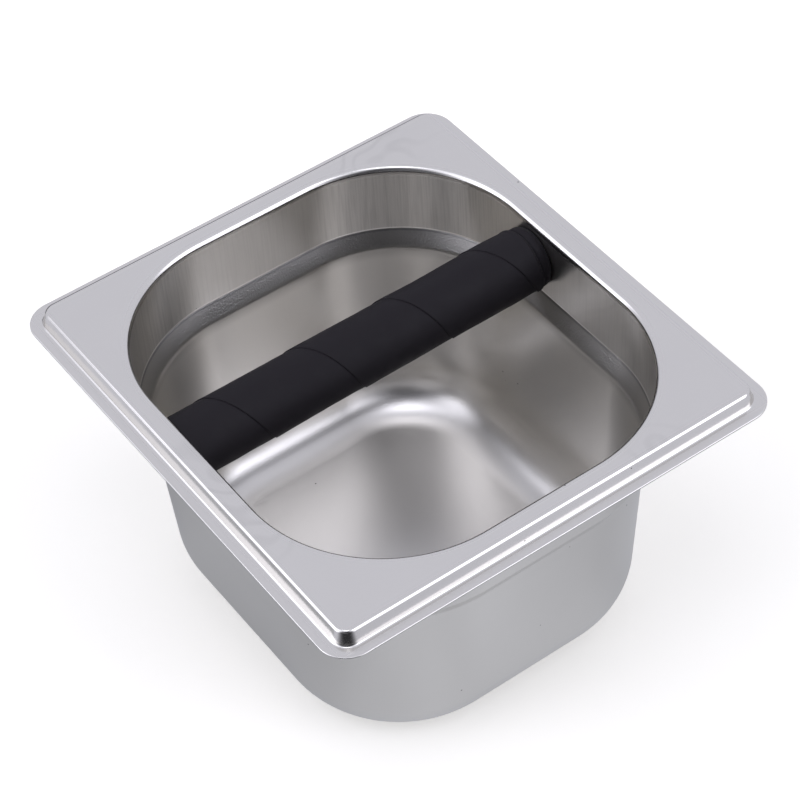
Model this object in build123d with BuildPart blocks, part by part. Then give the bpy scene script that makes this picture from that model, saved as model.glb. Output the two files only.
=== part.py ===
from build123d import *
import os

# Espresso knock box: a deep-drawn stainless catering pan, gastronorm size 1/6, 100 mm deep,
# with a rubber-wrapped steel bar screwed across its mouth. Spent coffee is knocked out of a
# portafilter on the bar and falls into the pan.
#
# Millimetres, +Z up. X runs along the bar and Y across it. The origin is the middle of the
# underside of the base. "left" is the -X end of the bar and "right" is the +X end.

os.makedirs("parts", exist_ok=True)

# ---------------------------------------------------------------- driving dimensions

# Pan
sheet = 0.8                  # thickness of the drawn sheet
flange_x = 162.0             # outside size of the lip: gastronorm 1/6
flange_y = 176.0
pan_height = 100.0           # from the base to the top of the raised rim
lip_top = 95.2               # top of the lower lip that runs round the raised rim
lip_width = 4.0              # flat width of that lip
lip_corner_r = 9.8
lip_edge_round = 0.3
riser_run = 1.7              # how far the rim's outer side leans in over its height
rim_bend_r = 1.3             # bend at the top of that side, over the upper skin
lip_bend_r = 0.9             # bend at its foot, over the upper skin

mouth_x = 136.8              # clear size between the upright walls
mouth_y = 151.0
mouth_corner_r = 48.0
mouth_roll_r = 2.0           # roll from the rim down into the mouth
rim_lap = 0.3                # flat stretch of rim drawn together with the roll

shoulder_top = 73.4          # stacking shoulder: a sloping step round the inside
shoulder_bottom = 67.2
shoulder_inset = 3.4
crease_r = 0.6               # tight bend at the shoulder's top
shoulder_foot_r = 6.0        # soft bend at its foot
wall_lean = 4.25             # how far the lower wall leans in from the shoulder to the floor
floor_bend_r = 17.7

# Knock bar
bar_y = 16.6                 # the bar sits behind the middle, which leaves room in front
bar_z = 86.0
tape_r = 11.1                # outside of the wound rubber tape
sleeve_r = 10.2              # outside of the rubber sleeve under the tape
tube_r = 8.0                 # outside of the steel tube
tube_wall = 1.2
plug_length = 15.0           # threaded plug fixed in each end of the tube

# Fixings: M5 button-head screw, spring washer and plain washer outside each wall
screw_r = 2.5
screw_length = 16.0
head_r = 4.75
head_height = 2.75
head_band = 0.6              # straight edge under the domed head
head_flat_r = 2.1            # flat on top of the dome
head_dome_r = 5.4
socket_across_flats = 3.0
socket_depth = 1.6
washer_r = 5.0
washer_bore_r = 2.65
washer_thickness = 1.0
spring_washer_r = 4.6
spring_washer_bore_r = 2.55
spring_washer_thickness = 1.2
spring_washer_gap = 0.9      # width of its split
spring_washer_skew = 20.0    # angle of its split
seal_r = 7.6                 # rubber washer between the bar's end and the wall
seal_thickness = 1.2

# Clearances between the bar, which turns, and the pan
screw_hole_clearance = 0.075
wrap_end_gap = 0.3           # tape and sleeve to the wall
seal_gap = 0.2               # seal washer to the wall
washer_gap = 0.1             # plain washer to the wall

# ---------------------------------------------------------------- pan

wall_x = mouth_x / 2         # inside face of the wall that the bar is screwed to

# Both sheet sections below are carried round a rounded rectangle: straight along the sides,
# and turned about the corner's centre. Distances in them are measured from that centre.
well_centre_x = wall_x - mouth_corner_r
well_centre_y = mouth_y / 2 - mouth_corner_r
flange_centre_x = flange_x / 2 - lip_corner_r
flange_centre_y = flange_y / 2 - lip_corner_r

shoulder_foot = mouth_corner_r - shoulder_inset
floor_edge = shoulder_foot - wall_lean
rolled_edge = mouth_corner_r + mouth_roll_r + rim_lap
riser_foot = lip_corner_r - lip_width

# Upper or inner skin of the sheet, from the middle of the floor to the rolled mouth.
well_skin = [
    (0, sheet),
    (floor_edge, sheet),
    (shoulder_foot, shoulder_bottom),
    (mouth_corner_r, shoulder_top),
    (mouth_corner_r, pan_height),
    (rolled_edge, pan_height),
]
well_bends = [floor_bend_r, shoulder_foot_r, crease_r, mouth_roll_r]

# Upper skin from the raised rim down to the edge of the lip.
flange_skin = [
    (0, pan_height),
    (riser_foot - riser_run, pan_height),
    (riser_foot, lip_top),
    (lip_corner_r, lip_top),
]
flange_bends = [rim_bend_r, lip_bend_r]


def sheet_section(plane, skin, bends, edge_round=0.0):
    """Section through the sheet: the given upper skin, and the lower skin one thickness under it."""
    with BuildSketch(plane) as section:
        with BuildLine():
            FilletPolyline(*skin, radius=bends)
            offset(amount=sheet, side=Side.RIGHT)
        make_face()
        if edge_round:
            fillet(section.vertices().group_by(Axis.X)[-1], radius=edge_round)
    return section.sketch


with BuildPart() as pan:
    # One quarter of the pan, then mirrored twice.
    for centre_x, centre_y, skin, bends, edge_round in (
        (well_centre_x, well_centre_y, well_skin, well_bends, 0.0),
        (flange_centre_x, flange_centre_y, flange_skin, flange_bends, lip_edge_round),
    ):
        centre = (centre_x, centre_y, 0)
        facing_x = sheet_section(
            Plane(origin=centre, x_dir=(1, 0, 0), z_dir=(0, -1, 0)), skin, bends, edge_round
        )
        facing_y = sheet_section(
            Plane(origin=centre, x_dir=(0, 1, 0), z_dir=(1, 0, 0)), skin, bends, edge_round
        )
        extrude(facing_x, amount=centre_y)
        extrude(facing_y, amount=-centre_x)
        revolve(facing_x, axis=Axis(centre, (0, 0, 1)), revolution_arc=90)

    with BuildSketch(Plane.XY):
        Rectangle(well_centre_x, well_centre_y, align=(Align.MIN, Align.MIN))
    extrude(amount=sheet)

    with BuildSketch(Plane.XY.offset(pan_height - sheet)):
        Rectangle(flange_centre_x, flange_centre_y, align=(Align.MIN, Align.MIN))
        RectangleRounded(
            2 * (well_centre_x + rolled_edge),
            2 * (well_centre_y + rolled_edge),
            rolled_edge,
            mode=Mode.SUBTRACT,
        )
    extrude(amount=sheet)

    mirror(about=Plane.YZ)
    mirror(about=Plane.XZ)

    # Hole for the bar's screw in each end wall.
    with BuildSketch(Plane(origin=(0, bar_y, bar_z), x_dir=(0, 1, 0), z_dir=(1, 0, 0))):
        Circle(screw_r + screw_hole_clearance)
    extrude(amount=flange_x / 2, both=True, mode=Mode.SUBTRACT)

pan.part.label = "pan"
export_step(pan.part, "parts/pan.step")

# ---------------------------------------------------------------- knock bar

wrap_end = wall_x - wrap_end_gap
tube_end = wall_x - seal_gap - seal_thickness
tube_bore_r = tube_r - tube_wall


def along_bar(x, outward=1):
    """Plane square to the bar's axis at x, facing +X or, with outward -1, facing -X."""
    return Plane(origin=(x, bar_y, bar_z), x_dir=(0, 1, 0), z_dir=(outward, 0, 0))


with BuildPart() as bar_tube:
    with BuildSketch(along_bar(-tube_end)):
        Circle(tube_r)
        Circle(tube_bore_r, mode=Mode.SUBTRACT)
    extrude(amount=2 * tube_end)
    chamfer(bar_tube.edges().filter_by(GeomType.CIRCLE).sort_by(SortBy.RADIUS)[-2:], length=0.3)

bar_tube.part.label = "bar_tube"
export_step(bar_tube.part, "parts/bar_tube.step")


with BuildPart() as rubber_sleeve:
    with BuildSketch(along_bar(-wrap_end)):
        Circle(sleeve_r)
        Circle(tube_r, mode=Mode.SUBTRACT)
    extrude(amount=2 * wrap_end)

rubber_sleeve.part.label = "rubber_sleeve"
export_step(rubber_sleeve.part, "parts/rubber_sleeve.step")


with BuildPart() as grip_tape:
    with BuildSketch(along_bar(-wrap_end)):
        Circle(tape_r)
        Circle(sleeve_r, mode=Mode.SUBTRACT)
    extrude(amount=2 * wrap_end)
    fillet(grip_tape.edges().filter_by(GeomType.CIRCLE).sort_by(SortBy.RADIUS)[-2:], radius=0.5)

grip_tape.part.label = "grip_tape"
export_step(grip_tape.part, "parts/grip_tape.step")

# ---------------------------------------------------------------- fixings, one set at each end

# Distances from the middle of the pan, along the bar.
washer_seat = wall_x + sheet + washer_gap
spring_washer_seat = washer_seat + washer_thickness
head_seat = spring_washer_seat + spring_washer_thickness

for side, outward in (("left", -1), ("right", 1)):

    with BuildPart() as end_plug:
        with BuildSketch(along_bar(outward * tube_end, outward)):
            Circle(tube_bore_r)
            Circle(screw_r, mode=Mode.SUBTRACT)
        extrude(amount=-plug_length)

    end_plug.part.label = f"{side}_end_plug"
    export_step(end_plug.part, f"parts/{side}_end_plug.step")

    with BuildPart() as seal_washer:
        with BuildSketch(along_bar(outward * tube_end, outward)):
            Circle(seal_r)
            Circle(screw_r, mode=Mode.SUBTRACT)
        extrude(amount=seal_thickness)

    seal_washer.part.label = f"{side}_seal_washer"
    export_step(seal_washer.part, f"parts/{side}_seal_washer.step")

    with BuildPart() as plain_washer:
        with BuildSketch(along_bar(outward * washer_seat, outward)):
            Circle(washer_r)
            Circle(washer_bore_r, mode=Mode.SUBTRACT)
        extrude(amount=washer_thickness)

    plain_washer.part.label = f"{side}_plain_washer"
    export_step(plain_washer.part, f"parts/{side}_plain_washer.step")

    with BuildPart() as spring_washer:
        with BuildSketch(along_bar(outward * spring_washer_seat, outward)):
            Circle(spring_washer_r)
            Circle(spring_washer_bore_r, mode=Mode.SUBTRACT)
        extrude(amount=spring_washer_thickness)
        # Slanting split through one side of the ring, seen square to the ring's radius.
        slit_middle = outward * (spring_washer_seat + spring_washer_thickness / 2)
        slit_plane = Plane(
            origin=(slit_middle, bar_y, bar_z), x_dir=(1, 0, 0), z_dir=(0, 0, -1)
        ).rotated((0, 0, spring_washer_skew))
        with BuildSketch(slit_plane):
            Rectangle(3 * spring_washer_thickness, spring_washer_gap)
        extrude(amount=spring_washer_r + 1, mode=Mode.SUBTRACT)

    spring_washer.part.label = f"{side}_spring_washer"
    export_step(spring_washer.part, f"parts/{side}_spring_washer.step")

    with BuildPart() as screw:
        # Half section: its Y axis points out of the wall along the screw.
        half_plane = Plane(
            origin=(outward * head_seat, bar_y, bar_z), x_dir=(0, 0, 1), z_dir=(0, outward, 0)
        )
        with BuildSketch(half_plane):
            with BuildLine():
                Polyline((0, head_height), (0, -screw_length), (screw_r - 0.5, -screw_length),
                         (screw_r, 0.5 - screw_length), (screw_r, 0), (head_r, 0), (head_r, head_band))
                RadiusArc((head_r, head_band), (head_flat_r, head_height), -head_dome_r)
                Line((head_flat_r, head_height), (0, head_height))
            make_face()
        revolve(axis=Axis((0, bar_y, bar_z), (1, 0, 0)))
        with BuildSketch(along_bar(outward * (head_seat + head_height), outward)):
            RegularPolygon(socket_across_flats / 2, 6, major_radius=False)
        extrude(amount=-socket_depth, mode=Mode.SUBTRACT)

    screw.part.label = f"{side}_screw"
    export_step(screw.part, f"parts/{side}_screw.step")
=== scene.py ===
import math
from types import SimpleNamespace

import bmesh
import bpy
from mathutils import Matrix, Vector, noise


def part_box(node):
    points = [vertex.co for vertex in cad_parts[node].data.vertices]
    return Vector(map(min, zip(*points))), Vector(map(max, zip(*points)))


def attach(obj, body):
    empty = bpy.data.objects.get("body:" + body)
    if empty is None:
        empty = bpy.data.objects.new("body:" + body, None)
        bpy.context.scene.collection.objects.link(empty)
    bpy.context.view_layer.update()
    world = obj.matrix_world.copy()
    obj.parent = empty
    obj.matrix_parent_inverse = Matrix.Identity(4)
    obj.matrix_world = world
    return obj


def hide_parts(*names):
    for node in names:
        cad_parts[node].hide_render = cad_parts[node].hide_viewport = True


# Looks of the espresso knock box: a satin stainless catering pan with a taped bar across it.
# Metres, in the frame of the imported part: +X along the bar, +Z up.

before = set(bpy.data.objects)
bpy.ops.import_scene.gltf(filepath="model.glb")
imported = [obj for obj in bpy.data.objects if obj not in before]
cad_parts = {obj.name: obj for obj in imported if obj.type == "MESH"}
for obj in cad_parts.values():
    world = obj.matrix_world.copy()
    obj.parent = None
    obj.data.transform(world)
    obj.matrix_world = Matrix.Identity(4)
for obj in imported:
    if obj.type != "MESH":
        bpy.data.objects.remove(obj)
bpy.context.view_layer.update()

MM = 0.001
BLACK = (0, 0, 0, 1)
WHITE = (1, 1, 1, 1)

# The pan's sheet. Each side is half a size in X and Y.
pan_low, pan_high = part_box("pan")
SHEET = 0.8 * MM
RIM_TOP = pan_high.z
LIP_SIDE = Vector((pan_high.x, pan_high.y))                # outside of the lip
LIP_CORNER = 9.8 * MM
LIP_WIDTH = 4.0 * MM
LIP_DROP = 4.8 * MM              # from the rim down to the lip
LIP_EDGE = 0.3 * MM              # depth of the rounding on the lip's edge
RISER_RUN = 1.7 * MM             # how far the rim's outer side leans in
RIM_SIDE = LIP_SIDE - Vector((6.7, 6.7)) * MM              # where the rim starts to bend down
WELL_SIDE = LIP_SIDE - Vector((12.6, 12.5)) * MM           # inside of the upright wall
WELL_CORNER = 48 * MM
MOUTH_ROLL = 2.0 * MM            # bend from the rim down into the well
SHOULDER_TOP = 73.4 * MM         # the stacking shoulder, a sloping step round the inside
SHOULDER_FOOT = 67.2 * MM
SHOULDER_INSET = 3.4 * MM
WALL_LEAN = 4.25 * MM            # how far the lower wall leans in down to the floor
FLOOR_BEND = 17.7 * MM
SHOULDER_BENDS = (6.0 * MM, 0.6 * MM)                      # at its foot and at its top
RIM_BENDS = (1.3 * MM, 0.9 * MM)                           # at the riser's top and at its foot
SCREW_HOLE = 2.575 * MM


# ---------------------------------------------------------------- node helpers


class Nodes:
    """Builds one node tree. Inputs are given by name, and a value may be a socket or a constant."""

    def __init__(self, tree):
        self.tree = tree
        tree.nodes.clear()

    def add(self, kind, settings=None, **inputs):
        node = self.tree.nodes.new(kind)
        for name, value in (settings or {}).items():
            setattr(node, name, value)
        for name, value in inputs.items():
            self.put(node, name.replace("_", " "), value)
        return node

    def put(self, node, name, value):
        socket = node.inputs[name]
        if isinstance(value, bpy.types.NodeSocket):
            self.tree.links.new(value, socket)
        else:
            socket.default_value = value

    def place(self, scale=(1, 1, 1)):
        """Position on the object in its own frame, stretched by scale."""
        where = self.add("ShaderNodeTexCoord").outputs["Object"]
        return self.add("ShaderNodeMapping", Vector=where, Scale=scale).outputs["Vector"]

    def axes(self, which="Object"):
        """X, Y and Z on the object, or of its normal."""
        where = self.add("ShaderNodeTexCoord").outputs[which]
        split = self.add("ShaderNodeSeparateXYZ", Vector=where)
        return split.outputs[0], split.outputs[1], split.outputs[2]

    def math(self, operation, first, second=0.0, third=0.0):
        node = self.add("ShaderNodeMath", {"operation": operation})
        for index, value in enumerate((first, second, third)):
            if isinstance(value, bpy.types.NodeSocket):
                self.tree.links.new(value, node.inputs[index])
            else:
                node.inputs[index].default_value = value
        return node.outputs[0]

    def product(self, first, second):
        return self.math("MULTIPLY", first, second)

    def noise(self, scale, detail=4.0, stretch=(1, 1, 1)):
        made = self.add(
            "ShaderNodeTexNoise",
            Vector=self.place(stretch), Scale=scale, Detail=detail, Roughness=0.55,
        )
        return made.outputs["Fac"]

    def ramp(self, value, low, high, to_low=0.0, to_high=1.0, smooth=False):
        kind = "SMOOTHSTEP" if smooth else "LINEAR"
        made = self.add("ShaderNodeMapRange", {"interpolation_type": kind}, Value=value)
        for name, number in (
            ("From Min", low), ("From Max", high), ("To Min", to_low), ("To Max", to_high),
        ):
            self.put(made, name, number)
        return made.outputs["Result"]

    def band(self, value, low, high, soft):
        """1 between low and high, falling to 0 within soft of them."""
        rising = self.ramp(value, low - soft, low, smooth=True)
        falling = self.ramp(value, high, high + soft, 1.0, 0.0, smooth=True)
        return self.product(rising, falling)

    def specks(self, scale, size, rarity):
        """Tiny round marks, in the few cells whose own random number is above rarity."""
        cells = self.add("ShaderNodeTexVoronoi", Vector=self.place(), Scale=scale)
        near = self.ramp(cells.outputs["Distance"], size, size * 1.6, 1.0, 0.0, smooth=True)
        chance = self.add("ShaderNodeSeparateColor", Color=cells.outputs["Color"]).outputs[0]
        return self.product(near, self.math("GREATER_THAN", chance, rarity))

    def blend(self, factor, first, second):
        made = self.add("ShaderNodeMix", {"data_type": "RGBA"})
        # A colour mix has four sockets of each name. These are the ones it uses.
        for socket, value in ((0, factor), (6, first), (7, second)):
            if isinstance(value, bpy.types.NodeSocket):
                self.tree.links.new(value, made.inputs[socket])
            else:
                made.inputs[socket].default_value = value
        return made.outputs[2]

    def bump(self, height, distance):
        return self.add("ShaderNodeBump", Height=height, Distance=distance).outputs["Normal"]


def new_material(name):
    made = bpy.data.materials.new(name)
    made.use_nodes = True
    return made, Nodes(made.node_tree)


def finish_material(nodes, **inputs):
    shader = nodes.add("ShaderNodeBsdfPrincipled", **inputs)
    output = nodes.add("ShaderNodeOutputMaterial")
    nodes.tree.links.new(shader.outputs[0], output.inputs["Surface"])


# ---------------------------------------------------------------- materials


def pan_regions(n):
    """Places on the sheet, each 1 there and 0 away. Some hold what the drawing dies left different
    in gloss and grain, and most say where painted shade or a painted highlight goes.
    """
    x, y, z = n.axes()
    out_x, out_y = n.math("ABSOLUTE", x), n.math("ABSOLUTE", y)

    # How far a point is outside the upright wall of the well, which has rounded corners.
    past_x = n.math("MAXIMUM", n.math("SUBTRACT", out_x, WELL_SIDE.x - WELL_CORNER), 0.0)
    past_y = n.math("MAXIMUM", n.math("SUBTRACT", out_y, WELL_SIDE.y - WELL_CORNER), 0.0)
    reach = n.math("SQRT", n.math("MULTIPLY_ADD", past_x, past_x, n.product(past_y, past_y)))
    outside = n.math("SUBTRACT", reach, WELL_CORNER)

    # The inner skin faces inwards or up, and the outer skin outwards or down.
    facing_x, facing_y, facing_z = n.axes("Normal")
    facing_out = n.math(
        "MULTIPLY_ADD",
        n.product(facing_x, n.math("SIGN", x)), past_x,
        n.product(n.product(facing_y, n.math("SIGN", y)), past_y),
    )
    inner_skin = n.math("LESS_THAN", facing_out, n.math("MULTIPLY_ADD", facing_z, reach, 0.01 * MM))
    in_well = n.product(inner_skin, n.ramp(outside, 0.5 * MM, 1.0 * MM, 1.0, 0.0))

    def ring(low, high, soft):
        """A ring round the inside of the well, between two heights."""
        return n.product(n.band(z, low, high, soft), in_well)

    # The dies polished the rim's outer side most, and the roll of the mouth less.
    past_rim = n.math(
        "MAXIMUM",
        n.math("SUBTRACT", out_x, RIM_SIDE.x),
        n.math("SUBTRACT", out_y, RIM_SIDE.y),
    )
    riser = n.product(n.band(past_rim, 0.0, 3.7 * MM, 0.4 * MM), n.ramp(z, 94.3 * MM, 94.8 * MM))
    roll_height = n.ramp(z, RIM_TOP - 3 * MM, RIM_TOP - 2 * MM)
    roll = n.product(n.band(outside, -0.3 * MM, MOUTH_ROLL, 0.4 * MM), roll_height)

    upper_wall = ring(SHOULDER_TOP + 0.6 * MM, RIM_TOP - 3 * MM, 1 * MM)
    bend_share = n.ramp(n.math("MINIMUM", past_x, past_y), 0.0, 15 * MM)
    return SimpleNamespace(
        in_well=in_well,
        flange_top=n.ramp(z, RIM_TOP - 0.8 * MM, RIM_TOP - 0.3 * MM),
        polished=n.math("MAXIMUM", riser, n.product(roll, 0.6)),
        # Painted shade: a dark line just under the mouth's roll.
        under_roll_shade=ring(RIM_TOP - 2.4 * MM, RIM_TOP - 1.8 * MM, 0.2 * MM),
        upper_wall=upper_wall,
        # The upper wall in the well's corners, which carry painted shade and stronger streaks.
        upper_corner=n.product(bend_share, upper_wall),
        # A painted highlight: a light line along the shoulder's top edge.
        edge=ring(SHOULDER_TOP + 0.1 * MM, SHOULDER_TOP + 0.5 * MM, 0.2 * MM),
        # Painted shade: a dark line in the crease just under the shoulder's top.
        crease_shade=ring(SHOULDER_TOP - 0.6 * MM, SHOULDER_TOP - 0.2 * MM, 0.2 * MM),
        # The shoulder: its duller gloss and pebbled relief are real, and pan_color darkens it with
        # painted shade.
        shoulder=ring(SHOULDER_FOOT + 0.3 * MM, SHOULDER_TOP - 0.4 * MM, 0.8 * MM),
        # The shoulder's foot bend, softly spread, where pan_color paints shade.
        foot=ring(SHOULDER_FOOT - 0.2 * MM, SHOULDER_FOOT + 0.3 * MM, 4.5 * MM),
        floor_bend=ring(4 * MM, 12 * MM, 2.5 * MM),
    )


def water_marks(n, where):
    """Faint wavy rings in patches on the flange, as water leaves when it dries."""
    waves = n.math("SINE", n.product(n.noise(22, detail=2), 80.0))
    patches = n.ramp(n.noise(13, detail=2), 0.50, 0.62, smooth=True)
    return n.product(n.ramp(waves, 0.1, 1.0), n.product(patches, where.flange_top))


def pan_color(n, where, marks, tone):
    """An almost even grey. Each mask then takes it some way towards another colour: real streaks,
    water marks and specks, and painted shade and a painted highlight in and round the well.
    """
    color = n.blend(tone, (0.685, 0.668, 0.634, 1), (0.715, 0.697, 0.662, 1))
    # The streaks are real marks, made darker in the upper corners as part of the painted shade
    # there.
    streaked = n.math("MULTIPLY_ADD", where.upper_corner, 0.09, n.product(where.upper_wall, 0.06))
    streaks = n.product(n.ramp(marks, 0.42, 0.66), streaked)
    for mask, share, other in (
        (streaks, 1.0, BLACK),
        # Painted shade: all of the inside of the well a little darker.
        (where.in_well, 0.035, BLACK),
        # Painted shade darkens the upper wall in the well's corners.
        (where.upper_corner, 0.12, BLACK),
        # Painted shade darkens the shoulder band.
        (where.shoulder, 0.26, BLACK),
        # Painted shade at the shoulder's foot, fading up and down the wall.
        (where.foot, 0.22, BLACK),
        # Painted shade in the crease under the shoulder's top.
        (where.crease_shade, 0.75, (0.30, 0.29, 0.28, 1)),
        # A painted highlight along the shoulder's top edge.
        (where.edge, 0.8, (0.97, 0.95, 0.92, 1)),
        # Painted shade: a dark line under the mouth's roll.
        (where.under_roll_shade, 0.55, (0.22, 0.21, 0.20, 1)),
        (water_marks(n, where), 0.07, BLACK),
        (n.specks(400, 0.08, 0.985), 1.0, (0.13, 0.12, 0.11, 1)),
    ):
        color = n.blend(n.product(mask, share), color, other)
    return color


def pan_roughness(n, where, tone):
    """Smears and the shoulder are duller, and what the dies polished is twice as smooth."""
    smears = n.ramp(n.noise(34, detail=5, stretch=(1, 0.6, 1)), 0.56, 0.72, smooth=True)
    # At 0.265 or less, the fine grain and the streaks no longer showed in the renders.
    rough = n.ramp(tone, 0.3, 0.7, 0.275, 0.286)
    rough = n.math("MULTIPLY_ADD", smears, 0.02, rough)
    rough = n.math("MULTIPLY_ADD", where.shoulder, 0.02, rough)
    return n.product(rough, n.ramp(where.polished, 0.0, 1.0, 1.0, 0.5))


def pan_relief(n, where, marks):
    """Fine grain all over, upright streaks on the walls and orange peel in the bends, in mm."""
    relief = n.product(n.noise(2600, detail=3), 0.003)
    corners = n.math("MULTIPLY_ADD", where.upper_corner, 0.012, 0.002)
    streaks = n.math("MULTIPLY_ADD", where.upper_wall, 0.005, corners)
    relief = n.math("MULTIPLY_ADD", marks, streaks, relief)
    pebbled = n.math("MULTIPLY_ADD", where.floor_bend, 0.03, n.product(where.shoulder, 0.14))
    return n.math("MULTIPLY_ADD", n.noise(1500, detail=3), pebbled, relief)


def pan_steel():
    """Satin drawn stainless."""
    made, n = new_material("pan_steel_satin")
    where = pan_regions(n)
    marks = n.noise(1500, detail=4, stretch=(1, 1, 0.03))
    tone = n.math("ADD", n.product(n.noise(60, detail=3), 0.6), n.product(marks, 0.4))
    finish_material(
        n, Base_Color=pan_color(n, where, marks, tone), Metallic=1.0,
        Roughness=pan_roughness(n, where, tone), Normal=n.bump(pan_relief(n, where, marks), MM),
    )
    return made


def plain_steel(name, dark, light, rough, stretch):
    """Small steel parts, with turning or drawing marks along the directions of small stretch."""
    made, n = new_material(name)
    marks = n.noise(5000, detail=3, stretch=stretch)
    finish_material(
        n, Base_Color=n.blend(marks, (*dark, 1), (*light, 1)), Metallic=1.0,
        Roughness=n.ramp(marks, 0.3, 0.7, *rough), Normal=n.bump(marks, 0.004 * MM),
    )
    return made


def rubber(name, dark, light, rough, grain_scale, grain_depth):
    """Black rubber, a little uneven in tone and gloss, with a fine grain."""
    made, n = new_material(name)
    grain = n.noise(grain_scale, detail=4)
    cloud = n.noise(120, detail=4)
    finish_material(
        n, Base_Color=n.blend(cloud, (*dark, 1), (*light, 1)), Specular_IOR_Level=0.19,
        Roughness=n.ramp(cloud, 0.3, 0.7, *rough), Normal=n.bump(grain, grain_depth),
    )
    return made


# ---------------------------------------------------------------- wound tape

TAPE_PITCH = 34 * MM
TAPE_STEP = 0.32 * MM            # one thickness of tape
SEAM_AT_PLUS_Y = 8.8 * MM        # where a seam crosses the bar's +Y side


def wound_tape():
    """The tape as a helical strip whose left edge lies over the turn before it."""
    low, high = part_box("grip_tape")
    axis = (low + high) / 2
    radius = (high.z - low.z) / 2
    sleeve_low, sleeve_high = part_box("rubber_sleeve")
    sleeve = (sleeve_high.z - sleeve_low.z) / 2

    bm = bmesh.new()
    wind_strip(bm, axis, radius, low.x, high.x)
    cuts = [low.x + d * MM for d in (0.2, 0.45, 0.8, 1.2)]
    cuts += [high.x - 0.35 * d * MM for d in range(1, 26)]
    for x in cuts:
        cut(bm, x, 0)
    cut(bm, low.x, -1)
    cut(bm, high.x, 1)

    for v in bm.verts:
        y, z = v.co.y - axis.y, v.co.z - axis.z
        angle = math.atan2(z, y)
        r = math.hypot(y, z) + lumps(v.co.x, angle, low.x, high.x)
        centre = bar_sag(v.co.x, low.x, high.x)
        v.co.y = axis.y + centre + r * math.cos(angle)
        v.co.z = axis.z + r * math.sin(angle)

    close_on_sleeve(bm, axis, sleeve, (low.x, high.x))
    return bm


def wind_strip(bm, axis, radius, start, end):
    """A helical strip, past both ends, joined to the turn before it."""
    rows_per_turn = 120
    columns = 30
    # Place across one pitch, and the radius there: the edge's foot and rounded top, the strip, its
    # tail.
    across = [(0.0, -0.62), (0.0012, 0.1), (0.004, 0.38), (0.011, 0.5)]
    across += [(i / columns, 0.5 - i / columns) for i in range(1, columns)]
    across += [(0.992, -0.5), (0.998, -0.56)]
    width = len(across)

    turns = math.ceil((end - start) / TAPE_PITCH) + 3
    first_turn = math.floor((start - SEAM_AT_PLUS_Y) / TAPE_PITCH) - 1
    rows = turns * rows_per_turn

    grid = []
    for row in range(rows + 1):
        turn = first_turn + row / rows_per_turn
        angle = 2 * math.pi * turn
        line = []
        for share, lift in across:
            x = SEAM_AT_PLUS_Y + TAPE_PITCH * (turn + share)
            r = radius + TAPE_STEP * (lift - 0.25)
            y, z = axis.y + r * math.cos(angle), axis.z + r * math.sin(angle)
            line.append(bm.verts.new((x, y, z)))
        grid.append(line)
    for row in range(rows):
        for column in range(width):
            if column + 1 < width:
                right = grid[row][column + 1], grid[row + 1][column + 1]
            elif row + 1 + rows_per_turn <= rows:
                right = grid[row + rows_per_turn][0], grid[row + 1 + rows_per_turn][0]
            else:
                continue
            bm.faces.new((grid[row][column], right[0], right[1], grid[row + 1][column]))
    bmesh.ops.reverse_faces(bm, faces=bm.faces[:])


def close_on_sleeve(bm, axis, sleeve, ends):
    """A ring at each end down to the sleeve, and a bore between them."""
    inner = []
    for x in ends:
        at_end = [e for e in bm.edges if all(abs(v.co.x - x) < 1e-6 for v in e.verts)]
        rim = [e for e in at_end if e.is_boundary]
        made = bmesh.ops.extrude_edge_only(bm, edges=rim)["geom"]
        for v in (g for g in made if isinstance(g, bmesh.types.BMVert)):
            angle = math.atan2(v.co.z - axis.z, v.co.y - axis.y)
            v.co.y = axis.y + sleeve * math.cos(angle)
            v.co.z = axis.z + sleeve * math.sin(angle)
        inner += [g for g in made if isinstance(g, bmesh.types.BMEdge) and g.is_boundary]
    bmesh.ops.bridge_loops(bm, edges=inner)
    bmesh.ops.recalc_face_normals(bm, faces=bm.faces[:])


def cut(bm, x, clear):
    """Cuts the mesh at x. clear 1 removes what is beyond it, -1 what is before it."""
    bmesh.ops.bisect_plane(
        bm, geom=bm.verts[:] + bm.edges[:] + bm.faces[:], dist=1e-6,
        plane_co=(x, 0, 0), plane_no=(1, 0, 0), clear_outer=clear > 0, clear_inner=clear < 0,
    )


def bar_sag(x, low, high):
    """The wrap isn't quite straight: it swings a little to one side along the bar."""
    t = (x - low) / (high - low)
    return (-0.5 + 0.9 * t) * MM


def lumps(x, angle, low, high):
    """How far the wrap stands out or in: soft lumps, rounded ends and folds at the right end."""
    t = (x - low) / (high - low)
    # All of these are in mm. The wrap gets a little thicker towards the right.
    soft = noise.noise(Vector((x * 45, math.cos(angle) * 0.7, math.sin(angle) * 0.7))) * 0.28
    soft += noise.noise(Vector((x * 160, math.cos(angle) * 1.6, 7 + math.sin(angle) * 1.6))) * 0.10
    r = soft + (-0.35 + 0.45 * t)
    for from_end, bend in (((x - low) / MM, 1.0), ((high - x) / MM, 1.6)):
        if from_end < bend:
            r -= bend * (1 - math.sqrt(max(0.0, 1 - (1 - from_end / bend) ** 2))) * 0.8
    d = (high - x) / MM
    fold = 3.6 + 0.7 * math.sin(angle + 0.6) + 0.25 * math.sin(3 * angle)
    r -= 0.55 * math.exp(-(((d - fold) / 0.42) ** 2))
    r += 0.22 * math.exp(-(((d - fold - 1.2) / 0.8) ** 2))
    if d < fold:
        r -= 0.45
    return r * MM


def mesh_piece(name, bm, material, smooth_angle=None):
    mesh = bpy.data.meshes.new(name)
    bm.to_mesh(mesh)
    bm.free()
    made = bpy.data.objects.new(name, mesh)
    bpy.context.scene.collection.objects.link(made)
    mesh.materials.append(material)
    mesh.shade_smooth()
    if smooth_angle:
        mesh.set_sharp_from_angle(angle=smooth_angle)
    return made


# ---------------------------------------------------------------- the pan, drawn finely


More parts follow.
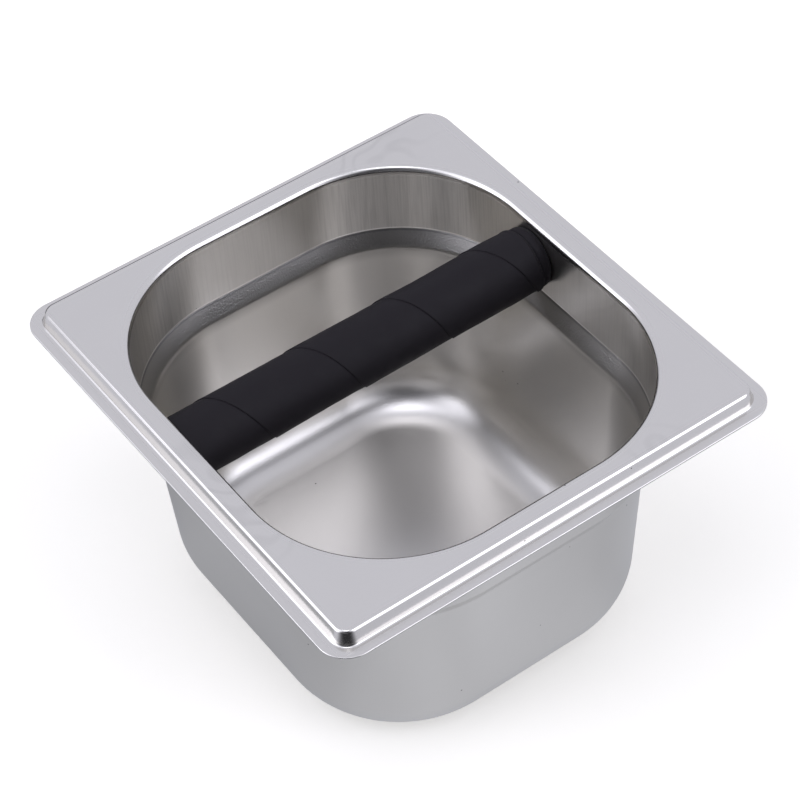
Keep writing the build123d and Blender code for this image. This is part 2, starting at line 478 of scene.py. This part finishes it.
def bent_line(points, radii):
    """Points along a line with rounded corners, each with the unit vector to the line's left."""
    support = 0.15 * MM              # keeps a flat stretch flat right up to the bend beside it
    made = []
    start = points[0]
    for index in range(1, len(points)):
        along = (points[index] - points[index - 1]).normalized()
        left = Vector((-along.y, along.x))
        turn, cut_back = 0.0, 0.0
        if index < len(points) - 1:
            turn = -along.angle_signed((points[index + 1] - points[index]).normalized())
            cut_back = radii[index - 1] * math.tan(abs(turn) / 2)
        end = points[index] - along * cut_back
        made += [(start, left), (start + along * support, left)]
        made += [(end - along * support, left), (end, left)]
        if not turn:
            break
        middle = end + left * math.copysign(radii[index - 1], turn)
        steps = max(6, round(math.degrees(abs(turn)) / 4))
        for step in range(1, steps):
            share = Matrix.Rotation(turn * step / steps, 2)
            made.append((middle + share @ (end - middle), share @ left))
        start = middle + Matrix.Rotation(turn, 2) @ (end - middle)
    return made


def round_the_pan(side, corner, corner_steps):
    """Stations round the pan: the corner's centre, or a place between two, and the way outwards."""
    made = []
    support = 1 * MM
    for quarter, (x_sign, y_sign) in enumerate(((1, 1), (-1, 1), (-1, -1), (1, -1))):
        centre = Vector((x_sign * (side.x - corner), y_sign * (side.y - corner)))
        for step in range(corner_steps + 1):
            angle = math.pi / 2 * (quarter + step / corner_steps)
            made.append((centre, Vector((math.cos(angle), math.sin(angle)))))
        onward = Vector((-made[-1][1].y, made[-1][1].x))
        length = 2 * abs(centre.dot(onward))
        made.append((centre + onward * support, made[-1][1]))
        made.append((centre + onward * (length - support), made[-1][1]))
    return made


def carry_round(bm, stations, section):
    """Carries a section, given as distance outwards and height, round the pan."""
    grid = []
    for base, outwards in stations:
        places = [base + outwards * point.x for point in section]
        grid.append([bm.verts.new((at.x, at.y, point.y)) for at, point in zip(places, section)])
    for here, there in zip(grid, grid[1:] + grid[:1]):
        for a, b, c, d in zip(here, here[1:], there[1:], there):
            bm.faces.new((a, b, c, d))
    return [[row[0] for row in grid], [row[-1] for row in grid]]


def loop_edges(bm, loop):
    return [bm.edges.get(pair) or bm.edges.new(pair) for pair in zip(loop, loop[1:] + loop[:1])]


def drawn_pan():
    """The same sheet as the CAD pan's, with its bends and corners cut fine enough to mirror."""
    foot = WELL_CORNER - SHOULDER_INSET
    well = [
        (2 * MM, SHEET),
        (foot - WALL_LEAN, SHEET),
        (foot, SHOULDER_FOOT),
        (WELL_CORNER, SHOULDER_TOP),
        (WELL_CORNER, RIM_TOP),
        (WELL_CORNER + MOUTH_ROLL + 0.3 * MM, RIM_TOP),
    ]
    lip_top = RIM_TOP - LIP_DROP
    rim = [
        (1 * MM, RIM_TOP),
        (LIP_CORNER - LIP_WIDTH - RISER_RUN, RIM_TOP),
        (LIP_CORNER - LIP_WIDTH, lip_top),
        (LIP_CORNER - LIP_EDGE, lip_top),
    ]
    edge = [
        (LIP_CORNER - LIP_EDGE, lip_top),
        (LIP_CORNER, lip_top),
        (LIP_CORNER, lip_top - SHEET),
        (LIP_CORNER - LIP_EDGE, lip_top - SHEET),
    ]
    well_line = bent_line([Vector(p) for p in well], [FLOOR_BEND, *SHOULDER_BENDS, MOUTH_ROLL])
    rim_line = bent_line([Vector(p) for p in rim], RIM_BENDS)
    edge_line = bent_line([Vector(p) for p in edge], [LIP_EDGE - 0.01 * MM] * 2)

    bm = bmesh.new()
    stations = round_the_pan(WELL_SIDE, WELL_CORNER, 48)
    floor_top, mouth_top = carry_round(bm, stations, [p for p, _ in well_line])
    under_line = [p - left * SHEET for p, left in well_line]
    floor_under, mouth_under = carry_round(bm, stations, under_line)
    bm.faces.new(floor_top)
    bm.faces.new(floor_under)

    # The edge's end stretches lie on the rim's two sides, so only what is between them is added.
    section = [p for p, _ in rim_line + edge_line[4:-4]]
    section += [p - left * SHEET for p, left in reversed(rim_line)]
    rim_top, rim_under = carry_round(bm, round_the_pan(LIP_SIDE, LIP_CORNER, 20), section)
    for inner, outer in ((mouth_top, rim_top), (mouth_under, rim_under)):
        edges = loop_edges(bm, inner) + loop_edges(bm, outer)
        bmesh.ops.triangle_fill(bm, edges=edges, use_beauty=True, normal=(0, 0, 1))
    bmesh.ops.recalc_face_normals(bm, faces=bm.faces[:])
    return bm


def drill(shown, radius, y, z):
    """Makes a hole right through along X."""
    bm = bmesh.new()
    bmesh.ops.create_cone(bm, cap_ends=True, segments=48, radius1=radius, radius2=radius, depth=0.3)
    turned = Matrix.Translation((0, y, z)) @ Matrix.Rotation(math.pi / 2, 4, "Y")
    bmesh.ops.transform(bm, matrix=turned, verts=bm.verts[:])
    drill_bit = mesh_piece("drill_bit", bm, shown.data.materials[0])
    holes = shown.modifiers.new("holes", "BOOLEAN")
    holes.operation, holes.object, holes.solver = "DIFFERENCE", drill_bit, "EXACT"
    drilled = shown.evaluated_get(bpy.context.evaluated_depsgraph_get())
    shown.data = bpy.data.meshes.new_from_object(drilled)
    shown.modifiers.clear()
    bpy.data.objects.remove(drill_bit)
    shown.data.set_sharp_from_angle(angle=math.radians(40))


# ---------------------------------------------------------------- the object


def paint(node, material):
    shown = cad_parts[node]
    shown.data.materials.clear()
    shown.data.materials.append(material)


steel = pan_steel()
paint("pan", steel)
fastener = plain_steel(
    "fastener_steel_turned", (0.42, 0.42, 0.43), (0.58, 0.58, 0.59), (0.2, 0.34), (0.2, 1, 1),
)
bar_steel = plain_steel(
    "bar_steel_drawn", (0.45, 0.45, 0.46), (0.58, 0.58, 0.59), (0.25, 0.38), (0.03, 1, 1),
)
sleeve_rubber = rubber(
    "sleeve_rubber_hose", (0.012,) * 3, (0.024,) * 3, (0.7, 0.85), 2500, 0.02 * MM,
)
seal_rubber = rubber(
    "seal_rubber_moulded", (0.018,) * 3, (0.03,) * 3, (0.6, 0.8), 3500, 0.01 * MM,
)
tape_rubber = rubber(
    "tape_rubber_satin", (0.0085, 0.0070, 0.0088), (0.0115, 0.0095, 0.0120),
    (0.58, 0.7), 2600, 0.04 * MM,
)

paint("bar_tube", bar_steel)
paint("rubber_sleeve", sleeve_rubber)
paint("grip_tape", tape_rubber)
for side in ("left", "right"):
    paint(f"{side}_end_plug", bar_steel)
    paint(f"{side}_seal_washer", seal_rubber)
    for piece in ("plain_washer", "spring_washer", "screw"):
        paint(f"{side}_{piece}", fastener)

tape_low, tape_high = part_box("grip_tape")
pan = mesh_piece("pan_drawn", drawn_pan(), steel, math.radians(40))
drill(pan, SCREW_HOLE, (tape_low.y + tape_high.y) / 2, (tape_low.z + tape_high.z) / 2)
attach(pan, "pan_body")
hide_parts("pan")

tape = mesh_piece("grip_tape_wrap", wound_tape(), tape_rubber, math.radians(50))
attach(tape, "knock_bar")
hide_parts("grip_tape")

# ---------------------------------------------------------------- studio


# The light table's right and front: level directions at azimuths of 303 and 213 degrees.
TABLE_RIGHT = (0.545, -0.839)
TABLE_FRONT = (-0.839, -0.545)
TABLE_TINT = (0.957, 0.978, 1.068, 1)


def disc(name, radius, height, material, **seen):
    """A round floor. seen says which kinds of ray it takes part in."""
    bm = bmesh.new()
    bmesh.ops.create_circle(bm, cap_ends=True, segments=96, radius=radius)
    floor = mesh_piece(name, bm, material)
    floor.location.z = height
    for ray, on in seen.items():
        setattr(floor, f"visible_{ray}", on)


def pale_floor():
    """Plain and pale, with a little light of its own."""
    made, n = new_material("pale_floor")
    finish_material(
        n, Base_Color=(0.86, 0.84, 0.77, 1), Roughness=1.0, Specular_IOR_Level=0.0,
        Emission_Color=WHITE, Emission_Strength=0.30,
    )
    return made


def table_glow():
    """Lit from below: brightest at the front and right, a little uneven, with a painted shadow of
    the pan in its middle.
    """
    made, n = new_material("table_glow")
    x, y, _ = n.axes()
    right = n.math("MULTIPLY_ADD", x, TABLE_RIGHT[0], n.product(y, TABLE_RIGHT[1]))
    front = n.math("MULTIPLY_ADD", x, TABLE_FRONT[0], n.product(y, TABLE_FRONT[1]))
    reach = n.math("SQRT", n.math("MULTIPLY_ADD", x, x, n.product(y, y)))
    glow = n.ramp(right, -0.045, 0.06, 0.46, 0.68)
    glow = n.product(glow, n.ramp(front, -0.01, 0.05, 0.80, 1.05))
    # A painted shadow: the glow is dimmer under and round the pan, so the steel's lower bends
    # mirror a contact shadow.
    glow = n.product(glow, n.ramp(reach, 0.05, 0.085, 0.7, 1.0, smooth=True))
    glow = n.product(glow, n.ramp(n.noise(16, detail=1), 0.3, 0.7, 0.93, 1.07))
    finish_material(
        n, Base_Color=BLACK, Roughness=1.0, Specular_IOR_Level=0.0,
        Emission_Color=TABLE_TINT, Emission_Strength=glow,
    )
    return made


def studio_floor():
    """Pale to the eye. The steel mirrors a round light table, duller than the floor."""
    disc("floor_seen", 6.0, 0.0, pale_floor(), glossy=False, diffuse=False)
    disc("light_table", 0.30, -0.001, table_glow(), camera=False)


EVEN_LIGHT = 0.80

# Each is azimuth from +X and elevation of its middle, half angle and edge width, in degrees, and
# then the brightness it adds to the even light, or the share of all light it takes away.
SOFT_BOXES = (
    (193, -3, 52, 8, 1.9),
    (287, 28, 31, 9, 1.9),
    (170, 57, 14, 7, 0.65),
    (146, 38, 15, 5, 1.1),
)
DARK_SIDES = (
    (234, 11, 47, 20, 0.95),
    (80, -12, 24, 7, 1.0),
)
OVERHEAD = (225, 76, 10, 6, 2.0)     # hangs over the dark front, so nothing takes from it
TABLE_BEYOND = 0.77                  # what shows below the horizon past the light table
LIGHT_TINT = (0.950, 0.962, 1.088, 1)


def studio_light():
    """Plain soft light from all round, with broad soft boxes and two dark sides."""
    world = bpy.data.worlds.new("studio")
    bpy.context.scene.world = world
    world.use_nodes = True
    n = Nodes(world.node_tree)
    where = n.add("ShaderNodeTexCoord").outputs["Generated"]

    def patch(azimuth, elevation, half_angle, edge, strength):
        turn, rise = math.radians(azimuth), math.radians(elevation)
        towards = (math.cos(turn) * math.cos(rise), math.sin(turn) * math.cos(rise), math.sin(rise))
        facing = n.add("ShaderNodeVectorMath", {"operation": "DOT_PRODUCT"})
        n.tree.links.new(where, facing.inputs[0])
        facing.inputs[1].default_value = towards
        inner = math.cos(math.radians(half_angle - edge))
        outer = math.cos(math.radians(half_angle + edge))
        return n.ramp(facing.outputs["Value"], outer, inner, 0.0, strength, smooth=True)

    total = EVEN_LIGHT
    for box in SOFT_BOXES:
        total = n.math("ADD", total, patch(*box))
    height = n.add("ShaderNodeSeparateXYZ", Vector=where).outputs[2]
    above = n.ramp(height, -0.02, 0.0)
    below = n.ramp(height, -0.02, 0.0, TABLE_BEYOND, 0.0)
    total = n.math("MULTIPLY_ADD", total, above, below)
    for side in DARK_SIDES:
        total = n.product(total, n.math("SUBTRACT", 1.0, patch(*side)))
    total = n.math("ADD", total, patch(*OVERHEAD))
    light = n.add("ShaderNodeBackground", Color=LIGHT_TINT, Strength=total)
    output = n.add("ShaderNodeOutputWorld")
    n.tree.links.new(light.outputs[0], output.inputs["Surface"])


def camera():
    place = Vector((-0.3035, -0.4727, 0.6734))
    target = Vector((-0.0050, -0.0117, 0.0900))
    roll = math.radians(-4.12)
    data = bpy.data.cameras.new("camera")
    data.lens = 118.15
    made = bpy.data.objects.new("camera", data)
    bpy.context.scene.collection.objects.link(made)
    made.location = place
    facing = (target - place).to_track_quat("-Z", "Y").to_matrix().to_4x4()
    turned = facing @ Matrix.Rotation(roll, 4, "Z")
    made.rotation_euler = turned.to_euler()
    bpy.context.scene.camera = made


studio_floor()
studio_light()
camera()
bpy.context.scene.view_settings.view_transform = "Standard"
bpy.context.scene.cycles.glossy_bounces = 8
